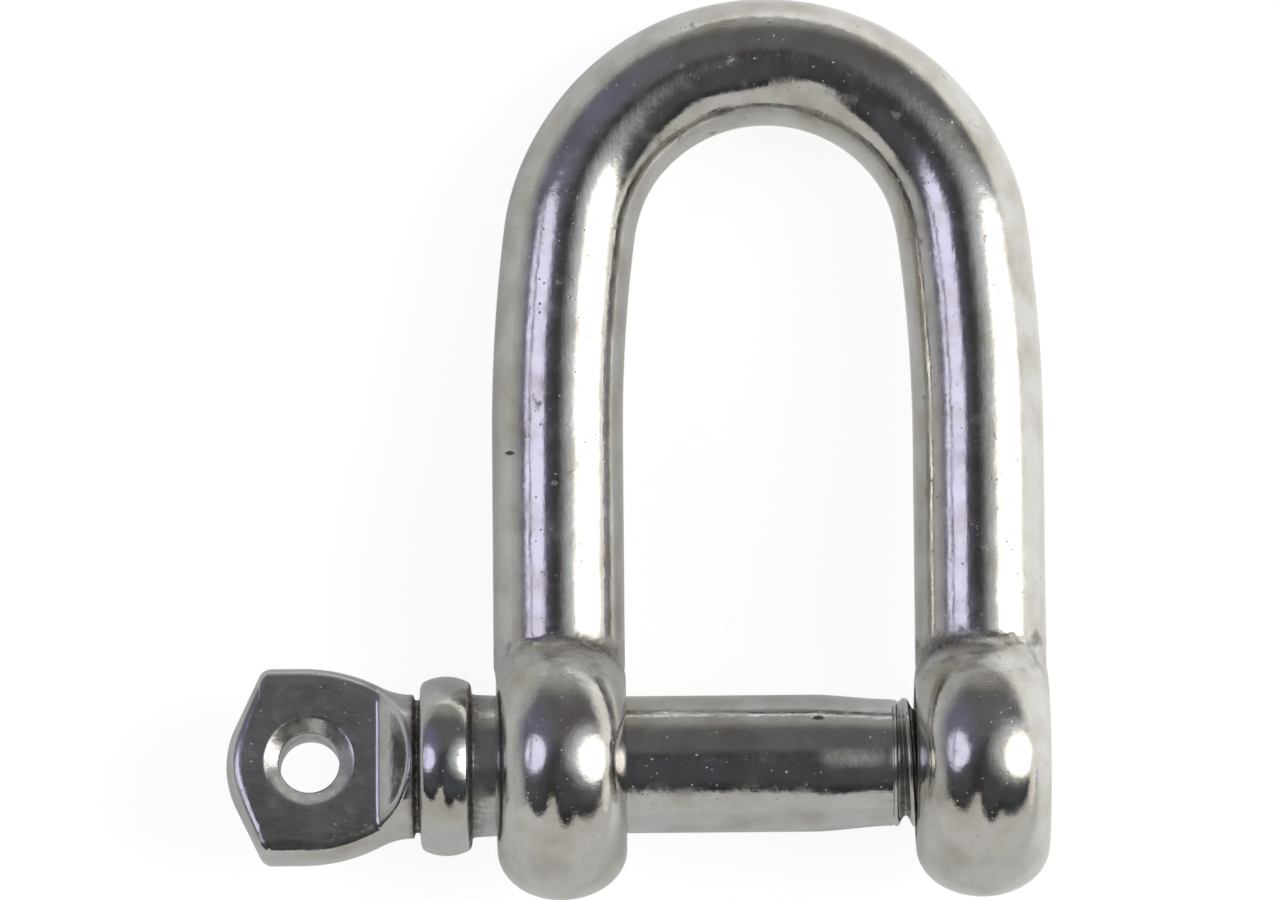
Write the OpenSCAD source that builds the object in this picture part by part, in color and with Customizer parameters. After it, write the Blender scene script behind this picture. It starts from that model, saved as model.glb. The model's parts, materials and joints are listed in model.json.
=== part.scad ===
// Screw-pin D shackle for joining chain, lying on its side as it comes to rest.
// X runs along the pin towards its thread, Y towards the crown and Z up. Sizes are in millimetres.

/* [Bow] */
// Diameter of the round bar that the bow is bent from
bar_d = 9.6; // [8:0.1:11]
// Clear width between the legs
inside_w = 21.2; // [18:0.1:28]
// Clear length from the pin's shank to the inside of the crown
inside_len = 42; // [36:0.5:60]
// Radius that the bar loses round the crown, where it was bent
bend_thinning = 0.15; // [0.05:0.01:0.3]
// How far each leg spreads between the crown's bend and its straight part
leg_spread = 0.85; // [0.4:0.05:2]
// Length of leg over which it spreads
spread_len = 13; // [8:0.5:18]

/* [Eyes] */
// Wall between the plain bore and the rim
eye_wall = 4.55; // [4.2:0.05:6]
// How far each flat side of an eye stands proud of the bar
eye_proud = 0.05; // [0.05:0.05:0.8]
// Depth over which the rim rounds away to the flat sides
rim_round = 3.65; // [2.5:0.05:3.8]
// Chamfer at each mouth of the bores
mouth_chamfer = 0.4; // [0.2:0.05:0.6]

/* [Pin shank] */
// Diameter of the shank
shank_d = 10; // [9:0.1:12]
// Radial play of the shank in the plain eye
shank_play = 0.3; // [0.25:0.05:0.5]
// How much thicker in radius the shank is where it meets the collar
root_rise = 0.2; // [0.05:0.05:0.2]
// Length over which that root tapers away
root_len = 4; // [2:0.5:8]
// Length of the rounded nose at the shank's end
nose_len = 4.5; // [1.5:0.1:5]
// Radius lost over the nose
nose_drop = 0.46; // [0.2:0.02:0.7]
// Straight length between the nose and the thread relief
nose_land = 0.55; // [0.2:0.05:1.5]

/* [Pin thread] */
// How much smaller in radius the thread is than the shank
thread_step = 0.3; // [0.1:0.05:0.5]
// Radial play of the thread in the tapped eye
thread_play = 0.08; // [0.05:0.01:0.1]
// Length of thread that shows inside the jaw
thread_show = 1.35; // [0.5:0.05:3]
// Width of the relief groove ahead of the thread
relief_w = 0.3; // [0.2:0.05:1]
// Depth of the relief groove below the thread
relief_depth = 0.3; // [0.2:0.05:1]
// How far the pin's end stands out of the tapped eye
tip_proud = 0.05; // [0.05:0.05:3]
// Chamfer at the pin's end
tip_chamfer = 0.5; // [0.2:0.05:1.5]

/* [Collar] */
// Height of the collar above the shank
collar_rise = 1.55; // [1:0.05:3]
// Thickness of the collar
collar_t = 3.7; // [2.8:0.1:6]
// Radius of the barrel shape of the collar's rim
collar_barrel_r = 3.5; // [3:0.1:12]
// Rounding of the rim's two corners
collar_round = 0.6; // [0.2:0.05:0.8]
// Fillet between the collar and the shank
collar_fillet = 0.3; // [0.1:0.05:0.4]
// Gap left between the collar and the plain eye
collar_gap = 1.6; // [1:0.05:4]

/* [Pin head] */
// Length of the head from the collar to its end
head_len = 14.2; // [13:0.1:20]
// Height of the head across its flanks
head_h = 14.4; // [13:0.1:16]
// Thickness of the head between its flats
head_t = 5.2; // [4.4:0.1:7]
// Lean of the two end edges from square, in degrees
gable_lean = 25.8; // [15:0.1:35]
// Radius of the nose between the end edges
end_r = 6.8; // [3:0.1:9]
// Rounding of the corners between the end edges and the flanks
head_corner = 1; // [0.4:0.1:2]
// Radius of the flanks as they leave the widest part
flank_out_r = 12.6; // [8:0.1:14]
// Radius of the flanks as they run into the neck
flank_in_r = 5; // [4:0.1:9]
// How much thicker in radius the neck is than the shank
neck_rise = 0.25; // [0.1:0.05:0.6]
// Width of the groove between the neck and the collar
groove_w = 0.6; // [0.3:0.05:1]
// Depth of that groove
groove_depth = 0.4; // [0.1:0.05:0.8]
// Distance from the collar to the inner end of the flats
flat_back = 3.1; // [2.8:0.1:5]
// How far short of the groove the ramp from each flat runs out on the neck
ramp_short = 0.15; // [0.05:0.05:0.4]
// Diameter of the lashing hole through the head
hole_d = 4.4; // [3:0.1:6]
// Distance from the head's end to the middle of the hole
hole_edge = 6.1; // [5:0.1:8]
// Width of the countersink round each mouth of the hole
sink_w = 1.15; // [0.3:0.05:1.4]
// Depth of that countersink
sink_depth = 0.7; // [0.2:0.05:1.2]
// Turn of the head about the pin, towards the crown, in degrees
head_turn = 6.5; // [0:0.5:180]

/* [Hidden] */
$fn = 96;
// Points along each rounded stretch of the pin's outline
arc_steps = 8;
// Points round the oval rim of an eye
rim_steps = 16;
// How far a cutter reaches past what it cuts
past = 1;
// Angle by which the crown's thinner bar runs on into each flank
crown_lap = 1;

bar_r = bar_d / 2;
crown_bar_r = bar_r - bend_thinning;
shank_r = shank_d / 2;
thread_r = shank_r - thread_step;
plain_bore_r = shank_r + shank_play;
tapped_bore_r = thread_r + thread_play;
neck_r = shank_r + neck_rise;
collar_r = shank_r + collar_rise;
hole_r = hole_d / 2;

// Eyes, one round each end of the pin
leg_x = inside_w / 2 + bar_r;
eye_t = bar_d + 2 * eye_proud;
eye_r = plain_bore_r + eye_wall;
eye_flat_r = eye_r - rim_round;
eye_inner_x = leg_x - eye_t / 2;
eye_outer_x = leg_x + eye_t / 2;

// Centre line of the bow: straight legs, long flank arcs and a crown arc, each tangent to the next
crown_r = leg_x - leg_spread;
crown_apex_y = shank_r + inside_len + crown_bar_r;
crown_y = crown_apex_y - crown_r;
leg_len = crown_y - spread_len;
flank_more = (spread_len * spread_len + leg_spread * leg_spread) / (2 * leg_spread);
flank_r = crown_r + flank_more;
crown_half_angle = asin((flank_more - leg_spread) / flank_more);
crown_reach = crown_half_angle + crown_lap;

// Stations along the pin, measured from the middle of the jaw
collar_right_x = -eye_outer_x - collar_gap;
collar_left_x = collar_right_x - collar_t;
head_end_x = collar_left_x - head_len;
neck_end_x = collar_left_x - groove_w;
flat_end_x = collar_left_x - flat_back;
hole_x = head_end_x + hole_edge;
thread_start_x = eye_inner_x - thread_show;
relief_start_x = thread_start_x - relief_w;
nose_end_x = relief_start_x - nose_land;
nose_start_x = nose_end_x - nose_len;
tip_x = eye_outer_x + tip_proud;

// The head's outline, from the end's nose round to the neck
head_r = head_h / 2;
gable_foot = [head_end_x + end_r * (1 - cos(gable_lean)), end_r * sin(gable_lean)];
corner_rise = head_r - head_corner - gable_foot[1];
corner_x = gable_foot[0] + (corner_rise * sin(gable_lean) + head_corner) / cos(gable_lean);
flank_turn = acos(1 - (head_r - neck_r) / (flank_out_r + flank_in_r));
flank_start_x = neck_end_x - (flank_out_r + flank_in_r) * sin(flank_turn);
nose_r = (nose_len * nose_len + nose_drop * nose_drop) / (2 * nose_drop);
ramp_slope = (neck_r - head_t / 2) / (neck_end_x - ramp_short - flat_end_x);
ramp_top = head_t / 2 + ramp_slope * (neck_end_x - flat_end_x);

// The collar's rim: a wide arc that runs into a small one at each side
collar_middle_x = (collar_left_x + collar_right_x) / 2;
barrel_y = collar_r - collar_barrel_r;
corner_reach = collar_barrel_r - collar_round;
barrel_angle = asin((collar_t / 2 - collar_round) / corner_reach);
corner_y = barrel_y + corner_reach * cos(barrel_angle);

// Lying at rest, the shackle bears on both eyes and on the crown
rest_tilt = asin((eye_r - crown_bar_r) / crown_apex_y);
middle_x = (head_end_x + tip_x) / 2;
middle_y = (crown_apex_y * cos(rest_tilt) + crown_bar_r - eye_r) / 2;

// Points along an arc, from one angle to another
function arc(centre, r, from, to) =
    [for (i = [0:arc_steps]) let (a = from + (to - from) * i / arc_steps) centre + r * [cos(a), sin(a)]];

// Outline of the pin as [station, radius], from the head's end to the thread's end
function pin_outline() = concat(
    arc([head_end_x + end_r, 0], end_r, 180, 180 - gable_lean),
    arc([corner_x, head_r - head_corner], head_corner, 180 - gable_lean, 90),
    arc([flank_start_x, head_r - flank_out_r], flank_out_r, 90, 90 - flank_turn),
    arc([neck_end_x, neck_r + flank_in_r], flank_in_r, 270 - flank_turn, 270),
    [[neck_end_x + groove_w / 2, neck_r - groove_depth],
     [collar_left_x, neck_r]],
    arc([collar_left_x + collar_round, corner_y], collar_round, 180, 90 + barrel_angle),
    arc([collar_middle_x, barrel_y], collar_barrel_r, 90 + barrel_angle, 90 - barrel_angle),
    arc([collar_right_x - collar_round, corner_y], collar_round, 90 - barrel_angle, 0),
    arc([collar_right_x + collar_fillet, shank_r + root_rise + collar_fillet], collar_fillet, 180, 270),
    [[collar_right_x + collar_fillet + root_len, shank_r]],
    arc([nose_start_x, shank_r - nose_r], nose_r, 90, 90 - asin(nose_len / nose_r)),
    [[relief_start_x, shank_r - nose_drop],
     [relief_start_x, thread_r - relief_depth],
     [thread_start_x, thread_r - relief_depth],
     [thread_start_x, thread_r],
     [tip_x - tip_chamfer, thread_r],
     [tip_x, thread_r - tip_chamfer],
     [tip_x, 0]]
);

// Lays a piece drawn about the pin's axis down on the ground, centred over the origin
module laid() {
    translate([-middle_x, -middle_y, eye_r])
        rotate([-rest_tilt, 0, 0])
            children();
}

// A round bar bent to part of a ring in the XY plane, from one angle to another
module bent_bar(ring_r, r, from, to) {
    rotate_extrude(start = from, angle = to - from)
        translate([ring_r, 0])
            circle(r = r);
}

// Half section of an eye: flat sides and an oval rim
module eye_section() {
    rim = [for (i = [0:rim_steps]) let (a = 180 * i / rim_steps - 90)
        [eye_flat_r + rim_round * cos(a), eye_t / 2 * sin(a)]];
    polygon(concat([[0, -eye_t / 2]], rim, [[0, eye_t / 2]]));
}

module eye() {
    rotate([0, 90, 0])
        rotate_extrude()
            eye_section();
}

// One half of the bow's bar, from the pin's axis to the foot of the crown arc
module leg() {
    rotate([-90, 0, 0])
        cylinder(r = bar_r, h = leg_len);
    translate([-flank_r, leg_len, 0])
        bent_bar(flank_r, bar_r, 0, 90 - crown_half_angle);
}

// A bore along the pin with a chamfer at each mouth of the eye
module eye_bore(r) {
    rotate([0, 90, 0]) {
        cylinder(r = r, h = eye_t + 2 * past, center = true);
        for (side = [0, 1])
            mirror([0, 0, side])
                translate([0, 0, eye_t / 2 - mouth_chamfer])
                    cylinder(r1 = r, r2 = r + mouth_chamfer + past, h = mouth_chamfer + past);
    }
}

module bow() {
    color("#b8b7b4")
        laid()
            difference() {
                union() {
                    for (side = [0, 1])
                        mirror([side, 0, 0])
                            translate([leg_x, 0, 0]) {
                                eye();
                                leg();
                            }
                    translate([0, crown_y, 0])
                        bent_bar(crown_r, crown_bar_r, 90 - crown_reach, 90 + crown_reach);
                }
                translate([-leg_x, 0, 0])
                    eye_bore(plain_bore_r);
                translate([leg_x, 0, 0])
                    eye_bore(tapped_bore_r);
            }
}

// What is pressed away beside the head to leave one flat and its ramp up to the neck
module flat_cutter() {
    rotate([90, 0, 0])
        linear_extrude(height = head_h + 2 * past, center = true)
            polygon([
                [head_end_x - past, head_t / 2],
                [flat_end_x, head_t / 2],
                [neck_end_x, ramp_top],
                [neck_end_x, head_r + past],
                [head_end_x - past, head_r + past]
            ]);
}

// The lashing hole, countersunk on both flats
module lashing_hole() {
    translate([hole_x, 0, 0]) {
        cylinder(r = hole_r, h = head_t + 2 * past, center = true);
        for (side = [0, 1])
            mirror([0, 0, side])
                translate([0, 0, head_t / 2 - sink_depth])
                    cylinder(r1 = hole_r, r2 = hole_r + 2 * sink_w, h = 2 * sink_depth);
    }
}

module screw_pin() {
    color("#a9a9ab")
        laid()
            rotate([-head_turn, 0, 0])
                difference() {
                    rotate([0, 90, 0])
                        rotate_extrude()
                            polygon([for (p = pin_outline()) [p[1], p[0]]]);
                    for (side = [0, 1])
                        mirror([0, 0, side])
                            flat_cutter();
                    lashing_hole();
                }
}

bow();
screw_pin();
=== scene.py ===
"""Looks of a screw-pin D shackle of polished stainless steel, lying on a pale table and seen from above.

The bow and the pin are each one surface, worked out on a grid of stations along it and angles round it.
Lengths are in millimetres about the pin's axis (u along the pin to its thread, v towards the crown, w up
from the bow's plane) and go to metres in the row frame as each mesh is made.
"""

import json
import math

import bmesh
import bpy
import numpy as np
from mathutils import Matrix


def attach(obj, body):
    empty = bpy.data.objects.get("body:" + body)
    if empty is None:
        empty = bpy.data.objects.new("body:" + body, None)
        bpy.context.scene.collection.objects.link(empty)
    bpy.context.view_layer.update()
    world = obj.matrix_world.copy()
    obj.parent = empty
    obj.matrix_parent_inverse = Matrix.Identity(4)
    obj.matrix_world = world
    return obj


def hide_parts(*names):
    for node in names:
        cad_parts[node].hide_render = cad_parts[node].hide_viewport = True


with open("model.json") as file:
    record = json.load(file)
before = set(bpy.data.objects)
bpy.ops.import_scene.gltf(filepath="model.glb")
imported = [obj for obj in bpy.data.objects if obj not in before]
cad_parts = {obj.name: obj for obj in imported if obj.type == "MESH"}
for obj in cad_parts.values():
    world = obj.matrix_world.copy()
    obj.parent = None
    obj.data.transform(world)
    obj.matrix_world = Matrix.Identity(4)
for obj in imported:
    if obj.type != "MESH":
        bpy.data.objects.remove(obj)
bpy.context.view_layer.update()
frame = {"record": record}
MM = 0.001

# Bow
BAR_R = 4.8
CROWN_BAR_R = 4.649
CROWN_THINNING = 0.5
JAW_HALF = 10.6
CROWN_APEX = 51.65
LEG_SPREAD = 0.85
SPREAD_LEN = 13.0
LEG_FOOT = 6.2
LEG_FOOT_ROUND = 1.2
SADDLE_TOP = 11.0
EYE_HALF = 4.85
EYE_R = 9.842
RIM = 3.65
FRONT_RIM = 4.2
SPOT_FACE = 0.25
SPOT_FACE_TOP = 7.85
SPOT_FACE_FADE = 2.25
CREASE = 0.75
JAW_CREASE = 0.08
PLAIN_BORE_R = 5.3
MOUTH_CHAMFER = 0.4
MOUTH_LEN = 0.5

# Pin
SHANK_R = 5.0
ROOT_RISE = 0.2
ROOT_LEN = 4.0
NOSE_LEN = 5.0
NOSE_DROP = 0.38
NOSE_LAND = 0.55
THREAD_R = 4.7
THREAD_DEPTH = 0.8
THREAD_PITCH = 1.5
THREAD_CREST = 0.08
THREAD_FLANK = 0.56
THREAD_RUN_IN = 0.9
CREST_RUN_IN = 0.5
THREAD_SHOW = 1.35
FIRST_CREST = 10.1
TAPPED_R = THREAD_R + 0.1
TAPPED_CHAMFER = 0.25
RELIEF_W = 0.3
RELIEF_DEPTH = 0.08
TIP_PROUD = 0.05
TIP_CHAMFER = 0.5
COLLAR_R = 6.55
COLLAR_T = 3.7
COLLAR_BARREL_R = 3.5
COLLAR_ROUND = 0.6
COLLAR_FILLET = 0.3
COLLAR_GAP = 1.6

# Pin head
HEAD_LEN = 14.2
HEAD_R = 7.2
HEAD_HALF_T = 2.6
HEAD_EDGE = 0.75
RAMP_EDGE_LESS = 0.75
GABLE_LEAN = math.radians(25.8)
END_R = 6.8
HEAD_CORNER = 1.0
FLANK_OUT_R = 12.6
FLANK_IN_R = 5.0
NECK_R = 5.25
GROOVE_W = 0.6
GROOVE_DEPTH = 0.4
FLAT_BACK = 3.1
RAMP_SHORT = 0.15
RAMP_FOOT = math.radians(42)
RAMP_FILLET = 0.16
RAMP_BEND = 0.28
RAMP_BEND_ROUND = 0.15
HOLE_R = 2.2
HOLE_EDGE = 6.1
SINK_W = 1.15
SINK_DEPTH = 0.7
SINK_LIP = 0.12

# Places that follow from those sizes
LEG_X = JAW_HALF + BAR_R
CROWN_R = LEG_X - LEG_SPREAD
CROWN_Y = CROWN_APEX - CROWN_R
LEG_LEN = CROWN_Y - SPREAD_LEN
FLANK_MORE = (SPREAD_LEN**2 + LEG_SPREAD**2) / (2 * LEG_SPREAD)
FLANK_R = CROWN_R + FLANK_MORE
FLANK_ANGLE = math.acos((FLANK_MORE - LEG_SPREAD) / FLANK_MORE)
COLLAR_RIGHT = -LEG_X - EYE_HALF - COLLAR_GAP
COLLAR_LEFT = COLLAR_RIGHT - COLLAR_T
HEAD_END = COLLAR_LEFT - HEAD_LEN
NECK_END = COLLAR_LEFT - GROOVE_W
FLAT_END = COLLAR_LEFT - FLAT_BACK
HOLE_X = HEAD_END + HOLE_EDGE
SINK_R = HOLE_R + SINK_W
RAMP_ANGLE = math.atan2(NECK_R - HEAD_HALF_T, NECK_END - RAMP_SHORT - FLAT_END - RAMP_BEND)
RELIEF_START = LEG_X - EYE_HALF - THREAD_SHOW - RELIEF_W
LAND_R = SHANK_R - NOSE_DROP
NOSE_END = RELIEF_START - NOSE_LAND
TIP = LEG_X + EYE_HALF + TIP_PROUD

# Grids: half width and steps of the square blocks that make way for a hole, and how many times its own size
# the part of the grid is that gives way round it
BORE_BLOCK, BORE_STEPS, BORE_SPREAD = 4.0, 32, 1.65
HOLE_BLOCK, HOLE_STEPS, HOLE_SPREAD = 2.2, 24, 2.05
EYE_FACE_R = 9.4
RAY_LEN = 12.0
HALVINGS = 36
ON_FACE = 0.02

# Axes of the bow and of the pin's head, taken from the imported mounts
mounts = {mount["name"]: mount for mount in frame["record"]["mounts"]}
PIN_MIDDLE = np.array(mounts["jaw_pin_seat"]["pos_m"])
ALONG = np.array(mounts["jaw_pin_seat"]["axis"], float)
CROWNWARD = -np.array(mounts["crown_seat"]["axis"])
BOW_UP = np.cross(ALONG, CROWNWARD)
HEAD_UP = np.array(mounts["lashing_hole"]["axis"])
HEAD_ACROSS = np.cross(HEAD_UP, ALONG)
HEAD_TURN = math.acos(float(HEAD_UP @ BOW_UP))


def in_row_frame(points, across, up):
    """Points in millimetres along the pin, across it and up, as row-frame points in metres: the pin's middle
    plus each share times its axis."""
    u, v, w = (points[..., axis, None] for axis in range(3))
    return PIN_MIDDLE + MM * (u * ALONG + v * across + w * up)


def stations(*spans):
    """Values that run through spans of (from, to, steps) in even steps, with each shared end once."""
    parts = [np.linspace(start, end, steps, endpoint=False) for start, end, steps in spans]
    return np.append(np.concatenate(parts), spans[-1][1])


def smooth_min(a, b, k):
    """The lesser of two distances, less the square of what their difference falls short of k, over 4 k."""
    gap = np.maximum(k - np.abs(a - b), 0)
    return np.minimum(a, b) - gap**2 / (4 * k)


def smooth_step(x):
    """0 below 0, 1 above 1, and three times the square less twice the cube between."""
    x = np.clip(x, 0, 1)
    return x * x * (3 - 2 * x)


def reach(distance, far):
    """How far out each ray goes before its signed distance turns positive, by halving the range."""
    low, high = np.zeros_like(far), far.copy()
    for _ in range(HALVINGS):
        middle = (low + high) / 2
        inside = distance(middle) < 0
        low, high = np.where(inside, middle, low), np.where(inside, high, middle)
    return (low + high) / 2


def angles_round(half_block, depth, block_steps, side_steps):
    """Angles round a bar for a grid with two square blocks on flats at that depth, one facing 0 and one 180
    degrees: even steps of the tangent within a block, even steps of angle between them."""
    block = np.arctan(np.linspace(-half_block, half_block, block_steps + 1) / depth)
    side = np.linspace(block[-1], math.pi - block[-1], side_steps + 1)
    return np.concatenate([block[:-1], side[:-1], math.pi + block[:-1], math.pi + side[:-1]])


def round_off_block(a, b, half_a, half_b, spread, mouth_r):
    """Moves grid points about a hole along their own directions: the block's square edge goes to the circle
    of the mouth, points at spread times the block stay, and those between move in proportion."""
    size = np.maximum(np.abs(a) / half_a, np.abs(b) / half_b)
    radius = np.maximum(np.hypot(a, b), 1e-9)
    edge = radius / np.maximum(size, 1e-9)
    wanted = mouth_r + (size - 1) / (spread - 1) * (spread * edge - mouth_r)
    scale = np.where((size > 1 - 1e-6) & (size < spread), wanted / radius, 1)
    return a * scale, b * scale


def ring_quads(rings):
    """Quads between each row of vertex numbers and the next, where every row closes on itself."""
    onward = np.roll(rings, -1, 1)
    return np.stack([rings[:-1], onward[:-1], onward[1:], rings[1:]], axis=-1)


def cut_blocks(number, keep, first_row, steps):
    """Takes two facing square blocks out of a grid and returns the vertex numbers round each of them, in
    step: along the first row, down the last column, back along the last row and up, with each corner
    once."""
    last_row, half = first_row + steps, number.shape[1] // 2
    for column in (0, half):
        keep[first_row:last_row, column:column + steps] = False
    onward, none = np.arange(steps), np.zeros(steps, int)
    rows = first_row + np.concatenate([none, onward, none + steps, onward[::-1] + 1])
    columns = np.concatenate([onward, none + steps, onward[::-1] + 1, none])
    return number[rows, columns], number[rows, half + steps - columns]


def thread_radius(u, turn, crest_r):
    """Radius of a right-hand thread: a rounded 60-degree form, half a cosine wave from crest to root, that
    moves on by one pitch a turn."""
    phase = (u - FIRST_CREST) / THREAD_PITCH - (turn - math.pi / 2) / (2 * math.pi)
    off_crest = np.abs((phase + 0.5) % 1 - 0.5) * THREAD_PITCH
    flank = np.clip((off_crest - THREAD_CREST) / THREAD_FLANK, 0, 1)
    return crest_r - THREAD_DEPTH * (0.5 - 0.5 * np.cos(math.pi * flank))


def make_piece(name, points, quads, fans, values, material):
    """A closed smooth mesh from row-frame points, quads, fans of (pole, ring) and one value per point."""
    triangles = [np.stack([np.full(len(ring), pole), ring, np.roll(ring, -1)], axis=-1)
                 for pole, ring in fans]
    mesh = bpy.data.meshes.new(name)
    mesh.from_pydata(points, [], np.concatenate(quads).tolist() + np.concatenate(triangles).tolist())
    outward = bmesh.new()
    outward.from_mesh(mesh)
    bmesh.ops.recalc_face_normals(outward, faces=outward.faces)
    outward.to_mesh(mesh)
    outward.free()
    for key, value in values.items():
        mesh.attributes.new(key, "FLOAT", "POINT").data.foreach_set("value", value.astype(np.float32))
    mesh.shade_smooth()
    mesh.materials.append(material)
    piece = bpy.data.objects.new(name, mesh)
    bpy.context.scene.collection.objects.link(piece)
    return piece


def eye_and_leg(x, v, w, spot_face):
    """Signed distances from an eye and from its leg. The eye is a disc turned about the pin's axis with an
    oval rim, rounder in front and behind and faced off by spot_face on its outer side: its distance is the
    oval's value less one, over the length of the oval's slope. The leg is a round bar that ends in the
    eye."""
    faced_off = spot_face * smooth_step((SPOT_FACE_TOP - v) / SPOT_FACE_FADE)
    half = np.where(x > 0, EYE_HALF - faced_off, EYE_HALF)
    off_axis = np.maximum(np.hypot(v, w), 1e-6)
    rim = RIM + (FRONT_RIM - RIM) * smooth_step(np.abs(w) / off_axis)
    over_rim = np.maximum(off_axis - EYE_R + rim, 0)
    oval = np.hypot(x / half, over_rim / rim)
    eye = oval * (oval - 1) / np.maximum(np.hypot(x / half**2, over_rim / rim**2), 1e-6)
    return eye, -smooth_min(BAR_R - np.hypot(x, w), v - LEG_FOOT, LEG_FOOT_ROUND)


def bow_distance(x, v, w, spot_face):
    """Signed distance from an eye with its leg: the lesser of the two, with the crease between them filleted
    in front and behind and left sharp at the sides."""
    eye, leg = eye_and_leg(x, v, w, spot_face)
    facing = w**2 / np.maximum(x**2 + w**2, 1e-6)
    fillet = CREASE * (0.75 + 0.25 * smooth_step(x / 2 + 0.5))
    return smooth_min(eye, leg, JAW_CREASE + (fillet - JAW_CREASE) * facing)


def eye_surface(height, angles, spot_face, mouth_r):
    """An eye with its leg as x, v and w about the eye's middle: at every height the rays round the bar go
    out to the surface, and on both faces the block of the grid is rounded off to the bore's mouth and put
    back on the face."""
    v, angle = np.meshgrid(height, angles, indexing="ij")
    far = np.full(v.shape, RAY_LEN)
    radius = reach(lambda r: bow_distance(r * np.cos(angle), v, r * np.sin(angle), spot_face), far)
    x, w = radius * np.cos(angle), radius * np.sin(angle)
    for side, depth in ((1, EYE_HALF - spot_face), (-1, EYE_HALF)):
        facing = (side * x > 0) & (np.hypot(v, w) < EYE_FACE_R)
        half_w = BORE_BLOCK * depth / EYE_HALF
        moved_v, moved_w = round_off_block(v, w, BORE_BLOCK, half_w, BORE_SPREAD, mouth_r)
        across = reach(lambda r: bow_distance(side * r, moved_v, moved_w, spot_face), far)
        moved = facing & (np.hypot(moved_v - v, moved_w - w) > 1e-9)
        v, w = np.where(moved, moved_v, v), np.where(moved, moved_w, w)
        x = np.where(moved, side * across, x)
    return x, v, w


def half_bow(height, angles, spot_face, mouth_r):
    """Half of the bow from under an eye to the top of the crown: the eye and its leg, and then a round bar
    carried along a wide arc and the crown's own arc, which thins a little as the crown begins."""
    flank = np.linspace(0, FLANK_ANGLE, 20)[1:]
    crown = np.linspace(FLANK_ANGLE, math.pi / 2, 70)[1:]
    centre_u = np.concatenate([LEG_X - FLANK_R * (1 - np.cos(flank)), CROWN_R * np.cos(crown)])[:, None]
    centre_v = np.concatenate([LEG_LEN + FLANK_R * np.sin(flank), CROWN_Y + CROWN_R * np.sin(crown)])[:, None]
    heading = np.concatenate([flank, crown])[:, None]
    bar = BAR_R + (CROWN_BAR_R - BAR_R) * smooth_step((heading - FLANK_ANGLE) / CROWN_THINNING)
    out = bar * np.cos(angles)
    bend = np.stack([centre_u + out * np.cos(heading), centre_v + out * np.sin(heading),
                     bar * np.sin(angles)], axis=-1)
    x, v, w = eye_surface(height, angles, spot_face, mouth_r)
    return np.concatenate([np.stack([LEG_X + x, v, w], axis=-1), bend])


def bore_wall(inner, outer, tapped):
    """Points of a bore's wall between the rings of its two mouths: the turn goes over evenly from one ring
    to the other, and the radius is the thread's in the tapped eye and plain in the other, chamfered at both
    mouths."""
    turn_in, turn_out = (np.unwrap(np.arctan2(ring[:, 2], ring[:, 1])) for ring in (inner, outer))
    turn_out = turn_out + 2 * math.pi * np.round((turn_in - turn_out) / (2 * math.pi))
    start, stop = inner[0, 0], outer[0, 0]
    depth = abs(stop - start)
    along = stations((0, MOUTH_LEN, 6), (MOUTH_LEN, depth - MOUTH_LEN, 90 if tapped else 10),
                     (depth - MOUTH_LEN, depth, 6))[1:-1, None]
    turn = turn_in + (turn_out - turn_in) * (along / depth)
    u = np.broadcast_to(start + np.sign(stop - start) * along, turn.shape)
    from_mouth = np.minimum(along, depth - along)
    if tapped:
        radius = np.maximum(thread_radius(u, turn, TAPPED_R), TAPPED_R + TAPPED_CHAMFER - from_mouth)
    else:
        radius = PLAIN_BORE_R + np.maximum(MOUTH_CHAMFER - from_mouth, 0)
    return np.stack([u, radius * np.cos(turn), radius * np.sin(turn)], axis=-1)


def bow_finish(points):
    """How soiled and shaded, dull and buffed the bow is at each point. Soil and painted shade lie in the
    bores, and fade out from their mouths and from the crease between eye and leg on the jaw's upper side. The
    steel turns dull above the eye's dome, and is buffed again a little higher up."""
    u, v, w = points.T
    out, off_axis = np.abs(u) - LEG_X, np.hypot(v, w)
    mouth_soil_shade_r, mouth_soil_shade_w, mouth_soil_shade_depth, bore_soil_shade_r = 5.4, 0.35, 0.5, 5.6
    from_face = np.abs(np.abs(out) - EYE_HALF)
    past_mouth = np.maximum(off_axis - mouth_soil_shade_r, 0)
    at_mouth = np.exp(-past_mouth / mouth_soil_shade_w) * np.exp(-from_face / mouth_soil_shade_depth)
    in_bore = off_axis < bore_soil_shade_r
    crease_w = 0.75
    eye, leg = eye_and_leg(out, v, w, 0)
    upper_jaw_side = smooth_step(0.3 - out / 3) * smooth_step((w - 1) / 3)
    crease = np.exp(-((np.abs(eye) + np.abs(leg)) / crease_w) ** 2) * upper_jaw_side
    dull_from, dull_over, buffed_from, buffed_over = 5.0, 2.4, 8.15, 1.6
    return {"soil_and_shade": np.maximum.reduce([at_mouth, 0.9 * in_bore, 0.8 * crease]),
            "dull": smooth_step((v - dull_from) / dull_over),
            "buffed": np.clip((v - buffed_from) / buffed_over, 0, 1)}


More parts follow.
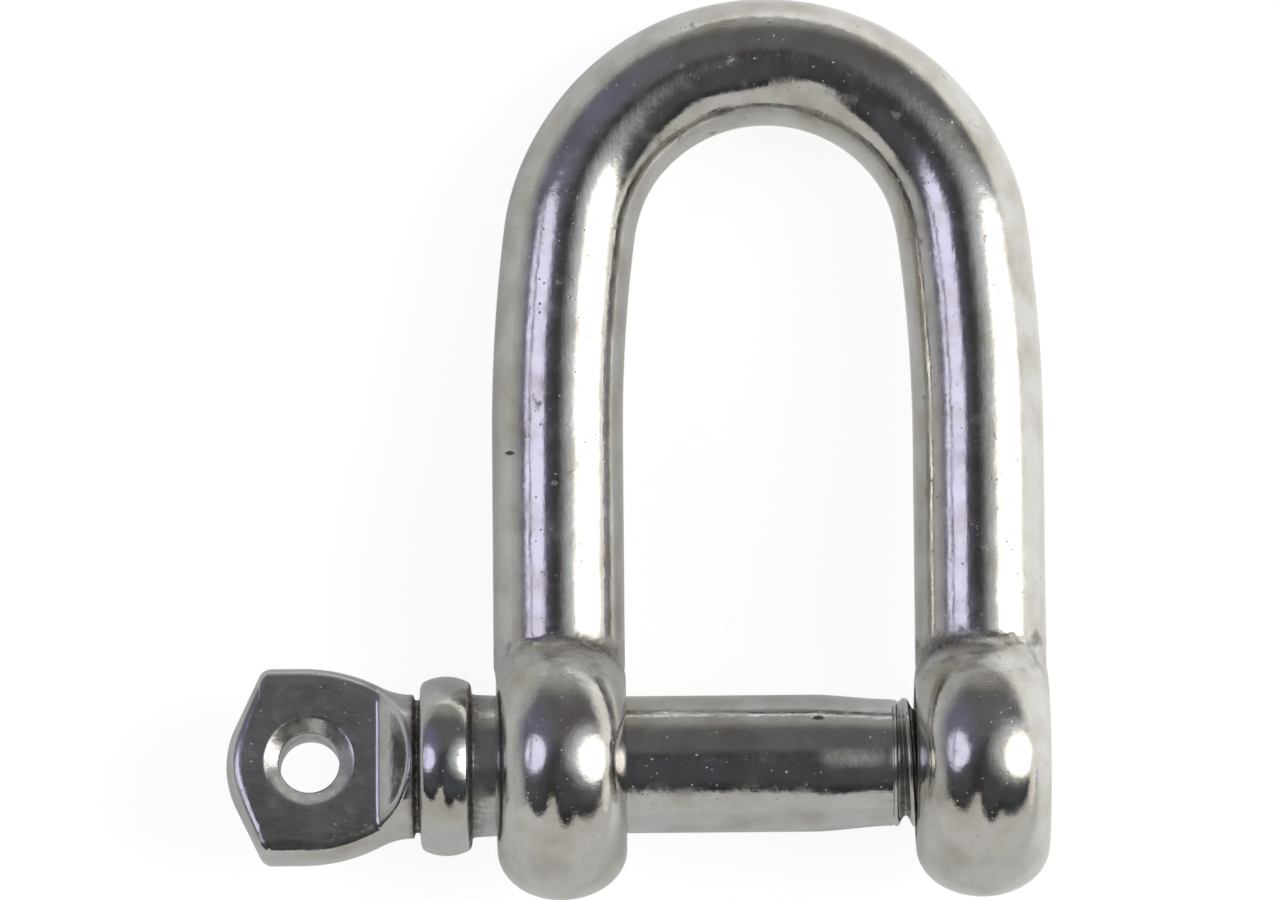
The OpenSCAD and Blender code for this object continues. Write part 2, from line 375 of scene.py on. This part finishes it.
def build_bow(material):
    """The bow as one grid: rows run from under the right eye up its leg, round the crown and down to the
    left eye, columns go round the bar, and each eye's bore joins two rounded-off blocks of the grid."""
    angles = angles_round(BORE_BLOCK, EYE_HALF, BORE_STEPS, side_steps=52)
    below = -EYE_R * np.cos(np.linspace(0, math.acos(BORE_BLOCK / EYE_R), 30))[1:-1]
    upward = stations((-BORE_BLOCK, BORE_BLOCK, BORE_STEPS), (BORE_BLOCK, SADDLE_TOP, 40),
                      (SADDLE_TOP, LEG_LEN, 26))
    height = np.concatenate([below, upward])
    right = half_bow(height, angles, 0, TAPPED_R + TAPPED_CHAMFER)
    left = half_bow(height, angles, SPOT_FACE, PLAIN_BORE_R + MOUTH_CHAMFER)
    surface = np.concatenate([right, left[-2::-1] * (-1, 1, 1)])
    number = np.arange(surface[..., 0].size).reshape(surface.shape[:2])
    grid = ring_quads(number)
    keep = np.ones(grid.shape[:2], bool)

    points, quads = surface.reshape(-1, 3), []
    right_row, left_row = len(below), len(grid) - len(below) - BORE_STEPS
    for first_row, tapped in ((right_row, True), (left_row, False)):
        outer, inner = cut_blocks(number, keep, first_row, BORE_STEPS)
        wall = bore_wall(points[inner], points[outer], tapped)
        wall_number = len(points) + np.arange(wall[..., 0].size).reshape(wall.shape[:2])
        quads.append(ring_quads(np.vstack([inner, wall_number, outer])).reshape(-1, 4))
        points = np.concatenate([points, wall.reshape(-1, 3)])
    quads.append(grid[keep])
    fans = [(len(points), number[0]), (len(points) + 1, number[-1])]
    points = np.concatenate([points, [[LEG_X, -EYE_R, 0], [-LEG_X, -EYE_R, 0]]])
    placed = in_row_frame(points, CROWNWARD, BOW_UP)
    return make_piece("bow_bar_with_eyes", placed, quads, fans, bow_finish(points), material)


def arc(centre_u, centre_r, radius, start, end, steps):
    """Points of [station, radius] along an arc, in even steps of an angle in radians."""
    angle = np.linspace(start, end, steps + 1)
    return np.stack([centre_u + radius * np.cos(angle), centre_r + radius * np.sin(angle)], axis=-1)


def line(start, end, steps):
    """Points of [station, radius] in even steps along a straight stretch, without its ends."""
    share = np.linspace(0, 1, steps + 1)[1:-1, None]
    return np.array(start) + share * (np.array(end) - np.array(start))


def head_outline():
    """The head's turned outline as [station, radius] up to its neck: a round end, a leaning gable, a rounded
    corner and a flank of two arcs that meet in one slope."""
    quarter = math.pi / 2
    corner_rise = HEAD_R - HEAD_CORNER - END_R * math.sin(GABLE_LEAN)
    corner_u = (HEAD_END + END_R * (1 - math.cos(GABLE_LEAN))
                + (corner_rise * math.sin(GABLE_LEAN) + HEAD_CORNER) / math.cos(GABLE_LEAN))
    flank_turn = math.acos(1 - (HEAD_R - NECK_R) / (FLANK_OUT_R + FLANK_IN_R))
    flank_start = NECK_END - (FLANK_OUT_R + FLANK_IN_R) * math.sin(flank_turn)
    end = arc(HEAD_END + END_R, 0, END_R, math.pi - 0.004, math.pi - GABLE_LEAN, 26)
    corner = arc(corner_u, HEAD_R - HEAD_CORNER, HEAD_CORNER, math.pi - GABLE_LEAN, quarter, 24)
    flank_out = arc(flank_start, HEAD_R - FLANK_OUT_R, FLANK_OUT_R, quarter, quarter - flank_turn, 40)
    flank_in = arc(NECK_END, NECK_R + FLANK_IN_R, FLANK_IN_R, 3 * quarter - flank_turn, 3 * quarter, 26)
    return np.concatenate([end, line(end[-1], corner[0], 40), corner, line(corner[-1], flank_out[0], 6),
                           flank_out, flank_in[1:]])


def collar_outline():
    """The collar's outline as [station, radius]: a barrel's arc between two rounded corners, and the fillet
    at the shank's root."""
    quarter = math.pi / 2
    corner_reach = COLLAR_BARREL_R - COLLAR_ROUND
    barrel = math.asin((COLLAR_T / 2 - COLLAR_ROUND) / corner_reach)
    barrel_r = COLLAR_R - COLLAR_BARREL_R
    corner_r = barrel_r + corner_reach * math.cos(barrel)
    left = arc(COLLAR_LEFT + COLLAR_ROUND, corner_r, COLLAR_ROUND, math.pi, quarter + barrel, 10)
    rim = arc(COLLAR_LEFT + COLLAR_T / 2, barrel_r, COLLAR_BARREL_R, quarter + barrel, quarter - barrel, 24)
    right = arc(COLLAR_RIGHT - COLLAR_ROUND, corner_r, COLLAR_ROUND, quarter - barrel, 0, 10)
    fillet = arc(COLLAR_RIGHT + COLLAR_FILLET, SHANK_R + ROOT_RISE + COLLAR_FILLET, COLLAR_FILLET,
                 math.pi, 3 * quarter, 6)
    return np.concatenate([left, rim[1:-1], right, fillet])


def pin_outline():
    """The turned outline of the pin as [station, radius], from the head's end to the middle of the tip. The
    nose drops by the mean of a straight line and an S-curve. Points a few hundredths from a corner break its
    edge."""
    groove = [[NECK_END + 0.08, NECK_R - 0.05], [NECK_END + 0.2, NECK_R - GROOVE_DEPTH],
              [COLLAR_LEFT - 0.1, NECK_R - GROOVE_DEPTH], [COLLAR_LEFT - 0.02, NECK_R - 0.1]]
    collar = collar_outline()
    root_end = [COLLAR_RIGHT + COLLAR_FILLET + ROOT_LEN, SHANK_R]
    nose_u = np.linspace(NOSE_END - NOSE_LEN, NOSE_END, 24)
    share = (nose_u - nose_u[0]) / NOSE_LEN
    nose = np.stack([nose_u, SHANK_R - NOSE_DROP * (share + smooth_step(share)) / 2], axis=-1)
    relief = [[RELIEF_START - 0.12, LAND_R], [RELIEF_START - 0.06, LAND_R - 0.01],
              [RELIEF_START, LAND_R - RELIEF_DEPTH], [RELIEF_START + 0.05, LAND_R - RELIEF_DEPTH]]
    thread_u = np.linspace(RELIEF_START + 0.1, TIP - TIP_CHAMFER, 118)
    thread = np.stack([thread_u, np.full_like(thread_u, THREAD_R)], axis=-1)
    tip_r = THREAD_R - TIP_CHAMFER
    tip = [[TIP - 0.06, tip_r + 0.05], [TIP - 0.02, tip_r], [TIP, tip_r - 0.05], [TIP, tip_r - 0.15],
           [TIP, tip_r * 0.5], [TIP, tip_r * 0.1]]
    return np.concatenate([head_outline(), groove, collar, line(collar[-1], root_end, 8), [root_end],
                           line(root_end, nose[0], 40), nose, relief, thread, tip])


def pin_rows():
    """The pin's outline with even rows through the lashing hole's block, and the number of the block's first
    row."""
    outline = pin_outline()
    in_block = np.abs(outline[:, 0] - HOLE_X) < HOLE_BLOCK + 0.05
    first_row = int(np.argmax(in_block))
    block_u = np.linspace(HOLE_X - HOLE_BLOCK, HOLE_X + HOLE_BLOCK, HOLE_STEPS + 1)
    block = np.stack([block_u, np.interp(block_u, outline[:, 0], outline[:, 1])], axis=-1)
    after = outline[first_row:][~in_block[first_row:]]
    return np.concatenate([outline[:first_row], block, after]), first_row


def head_distance(u, r, angle, outline_r, steep):
    """Signed distance from the pressed head: the turned outline cut by two flats that rise to the neck in a
    ramp, steeper at its foot, with a fillet there and the edges rounded."""
    turned = (r - outline_r) * steep
    height = np.abs(r * np.cos(angle)) - HEAD_HALF_T
    past = u - FLAT_END
    foot = height * math.cos(RAMP_FOOT) - past * math.sin(RAMP_FOOT)
    ramp = height * math.cos(RAMP_ANGLE) - (past - RAMP_BEND) * math.sin(RAMP_ANGLE)
    flat = smooth_min(height, smooth_min(foot, ramp, RAMP_BEND_ROUND), RAMP_FILLET)
    on_ramp = smooth_step(past / (NECK_END - FLAT_END))
    return -smooth_min(-turned, -flat, HEAD_EDGE * (1 - RAMP_EDGE_LESS * on_ramp))


def pin_surface(outline, angles):
    """The pin's surface as [u, across, up]: each row's circle is pressed flat in the head, cut along the
    helix on the thread, and rounded off to the countersink's mouth where the lashing hole's blocks are."""
    slope = np.gradient(outline[:, 1]) / np.maximum(np.abs(np.gradient(outline[:, 0])), 1e-4)
    steep = 1 / np.hypot(1, slope)[:, None]
    u, angle = np.meshgrid(outline[:, 0], angles, indexing="ij")
    outline_r = np.repeat(outline[:, 1:], len(angles), 1)
    just_past = outline_r * 1.001 + 1e-4
    pressed = reach(lambda r: head_distance(u, r, angle, outline_r, steep), just_past)
    radius = np.where(u < NECK_END, np.minimum(pressed, outline_r), outline_r)

    past_relief = u - RELIEF_START
    crest_r = THREAD_R + (LAND_R - THREAD_R) * (1 - smooth_step(past_relief / CREST_RUN_IN))
    cut = THREAD_R - thread_radius(u, math.pi / 2 - angle - HEAD_TURN, THREAD_R)
    threaded = crest_r - smooth_step(past_relief / THREAD_RUN_IN) * cut
    chamfered = np.minimum(threaded, THREAD_R - np.maximum(u - (TIP - TIP_CHAMFER), 0))
    on_thread = (past_relief >= 0.08) & (u <= TIP - 0.05)
    radius = np.where(on_thread, chamfered, radius)

    across, up = radius * np.sin(angle), radius * np.cos(angle)
    near_hole = np.abs(u - HOLE_X) < HOLE_BLOCK * HOLE_SPREAD + 0.5
    on_face = near_hole & (np.abs(np.abs(up) - HEAD_HALF_T) < ON_FACE)
    moved_u, moved_across = round_off_block(u - HOLE_X, across, HOLE_BLOCK, HOLE_BLOCK, HOLE_SPREAD, SINK_R)
    return np.stack([np.where(on_face, moved_u + HOLE_X, u), np.where(on_face, moved_across, across), up],
                    axis=-1)


def lashing_hole_wall(way_round):
    """Rings of the lashing hole's wall from one face of the head to the other, at those angles round it: a
    countersink that follows a hyperbola down from its lip, a small round, the plain hole, and the same again
    outwards."""
    share = np.linspace(0, 1, 15)[1:]
    sink = SINK_DEPTH * (np.hypot(share, SINK_LIP) - SINK_LIP) / (np.hypot(1, SINK_LIP) - SINK_LIP)
    lip = np.concatenate([sink[:-1], SINK_DEPTH + np.array([-0.03, 0.02, 0.12])])
    lip_r = np.concatenate([SINK_R - SINK_W * share[:-1], HOLE_R + np.array([0.05, 0.01, 0])])
    plain = (HEAD_HALF_T - lip[-1]) * np.linspace(1, -1, 8)[1:-1]
    depth = np.concatenate([HEAD_HALF_T - lip, plain, lip[::-1] - HEAD_HALF_T])
    radius = np.concatenate([lip_r, np.full(len(plain), HOLE_R), lip_r[::-1]])[:, None]
    up = np.repeat(depth[:, None], len(way_round), 1)
    return np.stack([HOLE_X + radius * np.cos(way_round), radius * np.sin(way_round), up], axis=-1)


def pin_finish(points):
    """How soiled and shaded, dull and buffed the pin is at each point. Soil and painted shade fade out from
    the middle of the groove, from the collar along the shank, and towards the crests of the thread. The
    countersink and the head's flats are dull."""
    u, across, up = points.T
    off_axis = np.hypot(across, up)
    groove_soil_shade_w, root_soil_shade_len, thread_soil_shade_depth = 0.42, 0.9, 0.4
    groove_middle = NECK_END + 0.32
    groove = np.exp(-((u - groove_middle) / groove_soil_shade_w) ** 2) * (off_axis < NECK_R + 0.5)
    # Painted shade of the narrow gap between the collar and the eye, with soil, fading along the shank
    root = np.exp(-np.maximum(u - COLLAR_RIGHT, 0) / root_soil_shade_len) * (u > COLLAR_RIGHT - 0.2)
    on_thread = (u > RELIEF_START) & (u < TIP - 0.2)
    thread = smooth_step((THREAD_R - 0.25 - off_axis) / thread_soil_shade_depth) * on_thread
    in_sink = 1.0 * (np.hypot(u - HOLE_X, across) < SINK_R - ON_FACE)
    on_face = (u < NECK_END) & (np.abs(np.abs(up) - HEAD_HALF_T) < ON_FACE)
    return {"soil_and_shade": np.maximum.reduce([groove, 0.8 * root, 0.6 * thread]),
            "dull": np.maximum(0.45 * in_sink, 0.3 * on_face),
            "buffed": 1 - np.maximum(in_sink, on_face)}


def build_pin(material):
    """The pin as one grid: rows follow its turned outline, columns go round it from the middle of one flat,
    the thread is cut along its helix, and the lashing hole joins two rounded-off blocks on the flats."""
    angles = angles_round(HOLE_BLOCK, HEAD_HALF_T, HOLE_STEPS, side_steps=76)
    outline, first_row = pin_rows()
    surface = pin_surface(outline, angles)
    number = np.arange(surface[..., 0].size).reshape(surface.shape[:2])
    grid = ring_quads(number)
    keep = np.ones(grid.shape[:2], bool)
    front, back = cut_blocks(number, keep, first_row, HOLE_STEPS)
    points = surface.reshape(-1, 3)
    wall = lashing_hole_wall(np.arctan2(points[front, 1], points[front, 0] - HOLE_X))
    wall_number = len(points) + np.arange(wall[..., 0].size).reshape(wall.shape[:2])
    quads = [grid[keep], ring_quads(np.vstack([front, wall_number, back])).reshape(-1, 4)]
    points = np.concatenate([points, wall.reshape(-1, 3), [[HEAD_END, 0, 0], [TIP, 0, 0]]])
    fans = [(len(points) - 2, number[0]), (len(points) - 1, number[-1])]
    placed = in_row_frame(points, HEAD_ACROSS, HEAD_UP)
    return make_piece("screw_pin_with_head", placed, quads, fans, pin_finish(points), material)


def linear(code, level=1):
    """A colour written as sRGB hex, as linear red, green and blue times a level, and full alpha."""
    parts = [int(code[i:i + 2], 16) / 255 for i in (1, 3, 5)]
    return [level * (p / 12.92 if p <= 0.04045 else ((p + 0.055) / 1.055) ** 2.4) for p in parts] + [1]


def add(tree, kind, sockets=(), out=0, **settings):
    """Adds one shader node with its settings, gives each named socket its value or its link, and returns the
    output that is asked for."""
    node = tree.nodes.new("ShaderNode" + kind)
    for key, value in settings.items():
        setattr(node, key, value)
    for key, value in dict(sockets).items():
        if isinstance(value, bpy.types.NodeSocket):
            tree.links.new(value, node.inputs[key])
        else:
            node.inputs[key].default_value = value
    return node.outputs[out] if node.outputs else None


def empty_material(name):
    """A material of that name with nothing in its node tree, and the tree."""
    material = bpy.data.materials.new(name)
    material.use_nodes = True
    material.node_tree.nodes.clear()
    return material, material.node_tree


PIT_CELL_MM = 0.36
NICK_SHAPE = (1.3, 4.2, 1.0)
NICK_JAGS_MM, NICK_EDGE_MM, NICK_FLOOR_MM = 0.4, 0.9, 0.6
TARNISH = "#a59c8c"


def polished_steel(name, steel, soil_shade_colour, grain, nick):
    """Stainless steel, forged and then buffed on a wheel. It mirrors its surroundings almost sharply, and
    pits, rubbing marks, smears and a little waviness break the edges of what it mirrors. It is dull where
    the wheel did not reach, and dark soil with painted shade sits in its grooves. grain stretches the
    rubbing marks along the piece, and nick is the place of one small dark nick, in metres."""
    material, tree = empty_material(name)
    place = add(tree, "TexCoord", out="Object")
    even = (1, 1, 1)
    # Each pattern's feature size in millimetres, its detail and its stretch along the axes. The wheel's real
    # rubbing marks are too fine to show, so they are drawn 0.16 mm wide.
    patterns = {}
    for mark, size_mm, detail, stretch in (
            ("waves", 5.0, 1.0, even), ("tarnish", 3.0, 6.0, even), ("pitted", 2.5, 3.0, even),
            ("haze", 2.2, 4.0, even), ("stains", 1.5, 6.0, (1.6, 1, 1)), ("smears", 1.4, 5.0, even),
            ("border", 1.3, 6.0, even), ("spots", 0.7, 5.0, even), ("peel", 0.6, 3.0, even),
            ("drawn", 0.5, 2.0, grain), ("crumbs", 0.4, 4.0, even), ("jags", 0.3, 3.0, even),
            ("rubs", 0.16, 3.0, grain)):
        scaled = add(tree, "Mapping", {"Vector": place, "Scale": [1 / (size_mm * s * MM) for s in stretch]})
        patterns[mark] = add(tree, "TexNoise", {"Vector": scaled, "Scale": 1.0, "Detail": detail})
    rubs = add(tree, "MapRange", {"Value": patterns["rubs"], "From Min": 0.35, "From Max": 0.75})
    smears = add(tree, "MapRange", {"Value": patterns["smears"], "From Min": 0.5, "From Max": 0.72})

    # Pits: one in each cell, most of them too small to see, and in fields
    cells = add(tree, "TexVoronoi", {"Vector": place, "Scale": 1 / (PIT_CELL_MM * MM), "Randomness": 1.0},
                out="Distance")
    chance = add(tree, "SeparateXYZ", {0: cells.node.outputs["Color"]})
    chance = add(tree, "Math", {0: chance, 1: 2.5}, operation="POWER")
    field = add(tree, "MapRange", {"Value": patterns["pitted"], "From Min": 0.34, "From Max": 0.58,
                                   "To Max": 0.32})
    size = add(tree, "Math", {0: chance, 1: field, 2: 0.002}, operation="MULTIPLY_ADD")
    pits = add(tree, "MapRange", {"Value": cells, "From Min": 0.0, "From Max": size, "To Min": size,
                                  "To Max": 0.0}, interpolation_type="SMOOTHSTEP")

    # Dull steel, with a ragged border where the buffing ends
    buffed = add(tree, "Attribute", out="Fac", attribute_name="buffed")
    border = add(tree, "Math", {0: patterns["border"], 1: 2.4, 2: buffed}, operation="MULTIPLY_ADD")
    border = add(tree, "MapRange", {"Value": border, "From Min": 1.8, "From Max": 1.6})
    dull = add(tree, "Attribute", out="Fac", attribute_name="dull")
    dull = add(tree, "Math", {0: dull, 1: border}, operation="MULTIPLY")
    grit = add(tree, "Math", {0: dull, 1: patterns["spots"]}, operation="MULTIPLY")

    # The nick: a dash along the row's X, with a jagged outline
    away = add(tree, "VectorMath", {0: place, 1: nick}, operation="SUBTRACT")
    away = add(tree, "VectorMath", {0: away, 1: NICK_SHAPE}, operation="MULTIPLY")
    away = add(tree, "VectorMath", {0: away}, out="Value", operation="LENGTH")
    away = add(tree, "Math", {0: patterns["jags"], 1: NICK_JAGS_MM * MM, 2: away}, operation="MULTIPLY_ADD")
    dent = add(tree, "MapRange", {"Value": away, "From Min": NICK_EDGE_MM * MM,
                                  "From Max": NICK_FLOOR_MM * MM})

    # Soil and painted shade in the grooves, and soil in stains on the dull steel, in the pits and in the nick
    crumbs = add(tree, "MapRange", {"Value": patterns["crumbs"], "From Min": 0.3, "From Max": 0.55,
                                    "To Min": 0.4})
    stains = add(tree, "MapRange", {"Value": patterns["stains"], "From Min": 0.5, "From Max": 0.66,
                                    "To Max": 0.5})
    soil_and_shade = add(tree, "Attribute", out="Fac", attribute_name="soil_and_shade")
    soiled_and_shaded = 0.0
    for mark, share in ((soil_and_shade, crumbs), (dull, stains), (pits, 0.8), (dent, 0.85)):
        darker = add(tree, "Math", {0: mark, 1: share}, operation="MULTIPLY")
        soiled_and_shaded = add(tree, "Math", {0: soiled_and_shaded, 1: darker}, operation="MAXIMUM")

    # Colour, metal, roughness and height
    tarnish = add(tree, "MapRange", {"Value": patterns["tarnish"], "From Min": 0.42, "From Max": 0.7,
                                     "To Max": 0.52})
    colour = linear(steel)
    for share, shade in ((tarnish, TARNISH), (soiled_and_shaded, soil_shade_colour)):
        colour = add(tree, "Mix", {"Factor": share, "A": colour, "B": linear(shade)}, out="Result",
                     data_type="RGBA")
    metal = add(tree, "Math", {0: soiled_and_shaded, 1: -0.6, 2: 1.0}, operation="MULTIPLY_ADD")
    rough = add(tree, "MapRange", {"Value": patterns["haze"], "From Min": 0.3, "From Max": 0.7,
                                   "To Min": 0.06, "To Max": 0.15})
    for mark, more in ((rubs, 0.04), (smears, 0.12), (dull, 0.22), (soiled_and_shaded, 0.35)):
        rough = add(tree, "Math", {0: mark, 1: more, 2: rough}, operation="MULTIPLY_ADD")
    height = 0.0
    for mark, rise_mm in ((patterns["waves"], 0.03), (patterns["haze"], 0.03), (patterns["peel"], 0.009),
                          (patterns["drawn"], 0.005), (rubs, 0.001), (pits, -0.12), (dull, -0.02),
                          (grit, 0.06), (dent, -0.1)):
        height = add(tree, "Math", {0: mark, 1: rise_mm * MM, 2: height}, operation="MULTIPLY_ADD")
    normal = add(tree, "Bump", {"Height": height, "Strength": 1.0, "Distance": 1.0})
    surface = add(tree, "BsdfPrincipled", {"Base Color": colour, "Metallic": metal, "Roughness": rough,
                                           "Normal": normal})
    add(tree, "OutputMaterial", {"Surface": surface})
    return material


TABLE_HALF = 3.0
TABLE_SEEN = 0.84
TABLE_MIRRORED = 0.2
# Level of the painted pool of light on the table, seen only in the steel's mirror
TABLE_POOL = 0.5
# Ways across the table, and the stretches in millimetres along them over which the painted pool of light sets
# in
POOL_EDGES = (((0.95, 0.35, 0), 6, 42), ((0, 1, 0), -75, -25))


def pale_table():
    """A matt white table top: it keeps the shackle's shadow, reads as white to the camera and, mirrored in
    the steel, glows with a painted pool of light to the right of the shackle."""
    material, tree = empty_material("matt_white_table")
    rays = add(tree, "LightPath").node.outputs
    place = add(tree, "TexCoord", out="Object")
    pool = TABLE_POOL
    for way, start_mm, end_mm in POOL_EDGES:
        out = add(tree, "VectorMath", {0: place, 1: way}, out="Value", operation="DOT_PRODUCT")
        share = add(tree, "MapRange", {"Value": out, "From Min": start_mm * MM, "From Max": end_mm * MM})
        pool = add(tree, "Math", {0: share, 1: pool}, operation="MULTIPLY")
    pool = add(tree, "Math", {0: pool, 1: TABLE_MIRRORED}, operation="ADD")
    mirrored = add(tree, "Math", {0: rays["Is Glossy Ray"], 1: rays["Is Transmission Ray"]},
                   operation="MAXIMUM")
    mirrored = add(tree, "Math", {0: mirrored, 1: pool}, operation="MULTIPLY")
    seen = add(tree, "Math", {0: rays["Is Camera Ray"], 1: TABLE_SEEN, 2: mirrored}, operation="MULTIPLY_ADD")
    tone = add(tree, "Mix", {"Factor": rays["Is Camera Ray"], "A": linear("#f1f3ee"), "B": linear("#b0b0b0")},
               out="Result", data_type="RGBA")
    matt = add(tree, "BsdfDiffuse", {"Color": tone})
    glow = add(tree, "Emission", {"Color": linear("#ffffff"), "Strength": seen})
    add(tree, "OutputMaterial", {"Surface": add(tree, "AddShader", {0: matt, 1: glow})})
    mesh = bpy.data.meshes.new("table")
    corners = [(x * TABLE_HALF, y * TABLE_HALF, 0) for x, y in ((-1, -1), (1, -1), (1, 1), (-1, 1))]
    mesh.from_pydata(corners, [], [(0, 1, 2, 3)])
    mesh.materials.append(material)
    table = bpy.data.objects.new("table", mesh)
    bpy.context.scene.collection.objects.link(table)


# Panels round the table: middle and half size in degrees, left-right of straight up and towards the crown,
# then the share of the size over which the edge fades, the colour and the level
PANELS = (
    ((-90, 10), (26, 80), 0.7, "#f2f3f2", 0.62),
    ((100, 5), (26, 80), 0.7, "#f4f3ee", 1.25),
    ((0, -115), (900, 90), 0.04, "#f0efeb", 0.78),
    ((-38, -14), (23, 25), 0.2, "#84808a", 0.18),
    ((12, -20), (20, 32), 0.2, "#80828a", 0.16),
    ((40, -14), (34, 27), 0.2, "#80868a", 0.17),
    ((-38, -7), (21, 22), 0.6, "#84828a", 0.42),
    ((12, -11), (18, 27), 0.6, "#808288", 0.42),
    ((40, -7), (32, 24), 0.6, "#80868a", 0.42),
    ((-46, 23), (30, 27), 1.0, "#b4b0cf", 0.44),
    ((45, 10), (31, 20), 1.0, "#e6ebee", 1.05),
    ((-42, 11), (18, 14), 0.4, "#d9d6f0", 1.7),
    ((-50, 12), (2.0, 15), 0.5, "#a09eb4", 0.9),
    ((54, 6), (24, 15.5), 0.5, "#fdfaf4", 2.8),
)
CEILING = "#fdfaff"


def studio_light():
    """Soft light from all round, laid over a dim ceiling in turn: the ceiling's lighter part, the back, a
    wall at the horizon, and then the panels, each fading in between two values of an angle, a height or a
    distance."""
    world = bpy.data.worlds.new("studio")
    bpy.context.scene.world = world
    world.use_nodes = True
    tree = world.node_tree
    tree.nodes.clear()
    way = add(tree, "SeparateXYZ", {0: add(tree, "TexCoord", out="Generated")}).node.outputs
    sideways = add(tree, "Math", {0: way[0], 1: way[2]}, operation="ARCTAN2")
    crownward = add(tree, "Math", {0: way[1]}, operation="ARCSINE")
    spot = add(tree, "CombineXYZ", {0: sideways, 1: crownward})
    layers = [(crownward, math.radians(13), math.radians(29), linear(CEILING, 0.168)),
              (crownward, math.radians(58), math.radians(92), linear("#fffbf4", 0.62)),
              (way[2], 0.4, 0.05, linear("#fffffc", 0.44))]
    for middle, half, edge, colour, level in PANELS:
        off = add(tree, "VectorMath", {0: spot, 1: [math.radians(a) for a in middle] + [0]},
                  operation="SUBTRACT")
        off = add(tree, "VectorMath", {0: off, 1: [math.radians(a) for a in half] + [1]}, operation="DIVIDE")
        off = add(tree, "VectorMath", {0: off}, out="Value", operation="LENGTH")
        layers.append((off, 1 + edge / 2, 1 - edge / 2, linear(colour, level)))
    light = linear(CEILING, 0.065)
    for measure, start, end, colour in layers:
        share = add(tree, "MapRange", {"Value": measure, "From Min": start, "From Max": end},
                    interpolation_type="SMOOTHSTEP")
        light = add(tree, "Mix", {"Factor": share, "A": light, "B": colour}, out="Result", data_type="RGBA")
    sky = add(tree, "Background", {"Color": light, "Strength": 1.0})
    add(tree, "OutputWorld", {"Surface": sky})


CAMERA_AWAY_MM = 700.0
CAMERA_OFF_MM = (0.36, -0.13)
CAMERA_TURN = math.radians(-0.5)
SENSOR_MM = 36
PICTURE_W = 1280
PIXELS_PER_MM = 13.7


def camera_above():
    """A long lens straight over the shackle, turned slightly so that the legs lean as in the photograph."""
    data = bpy.data.cameras.new("camera")
    camera = bpy.data.objects.new("camera", data)
    bpy.context.scene.collection.objects.link(camera)
    bpy.context.scene.camera = camera
    data.sensor_width = SENSOR_MM
    data.lens = SENSOR_MM * PIXELS_PER_MM * CAMERA_AWAY_MM / PICTURE_W
    data.clip_end = 10
    camera.location = [*(MM * off for off in CAMERA_OFF_MM), PIN_MIDDLE[2] + CAMERA_AWAY_MM * MM]
    camera.rotation_euler = (0, 0, CAMERA_TURN)


# Forged bar, buffed all over: a mirror with soft, broken edges, a dull grey border above each eye, and soil
# # with painted shade in the bores and the crease
leg_nick = in_row_frame(np.array([-LEG_X - 3.45, 22.6, 3.3]), CROWNWARD, BOW_UP)
bow = build_bow(polished_steel("buffed_stainless_bow", "#cfcdca", "#3a2f24", (1, 12, 1), leg_nick))
# Turned pin, buffed along its length: the same mirror, satin on the head's flats, and soil with painted
# # shade in the groove, by the collar and in the thread
shank_nick = PIN_MIDDLE + MM * np.array([3.4, 3.4, 3.66])
pin = build_pin(polished_steel("buffed_stainless_pin", "#c9c9c8", "#38271a", (12, 1, 1), shank_nick))
for piece, node, body, finish in ((bow, "bow", "bow", "bow_steel"), (pin, "screw_pin", "pin", "pin_steel")):
    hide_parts(node)
    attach(piece, body)
pale_table()
studio_light()
camera_above()
bpy.context.scene.view_settings.view_transform = "Standard"
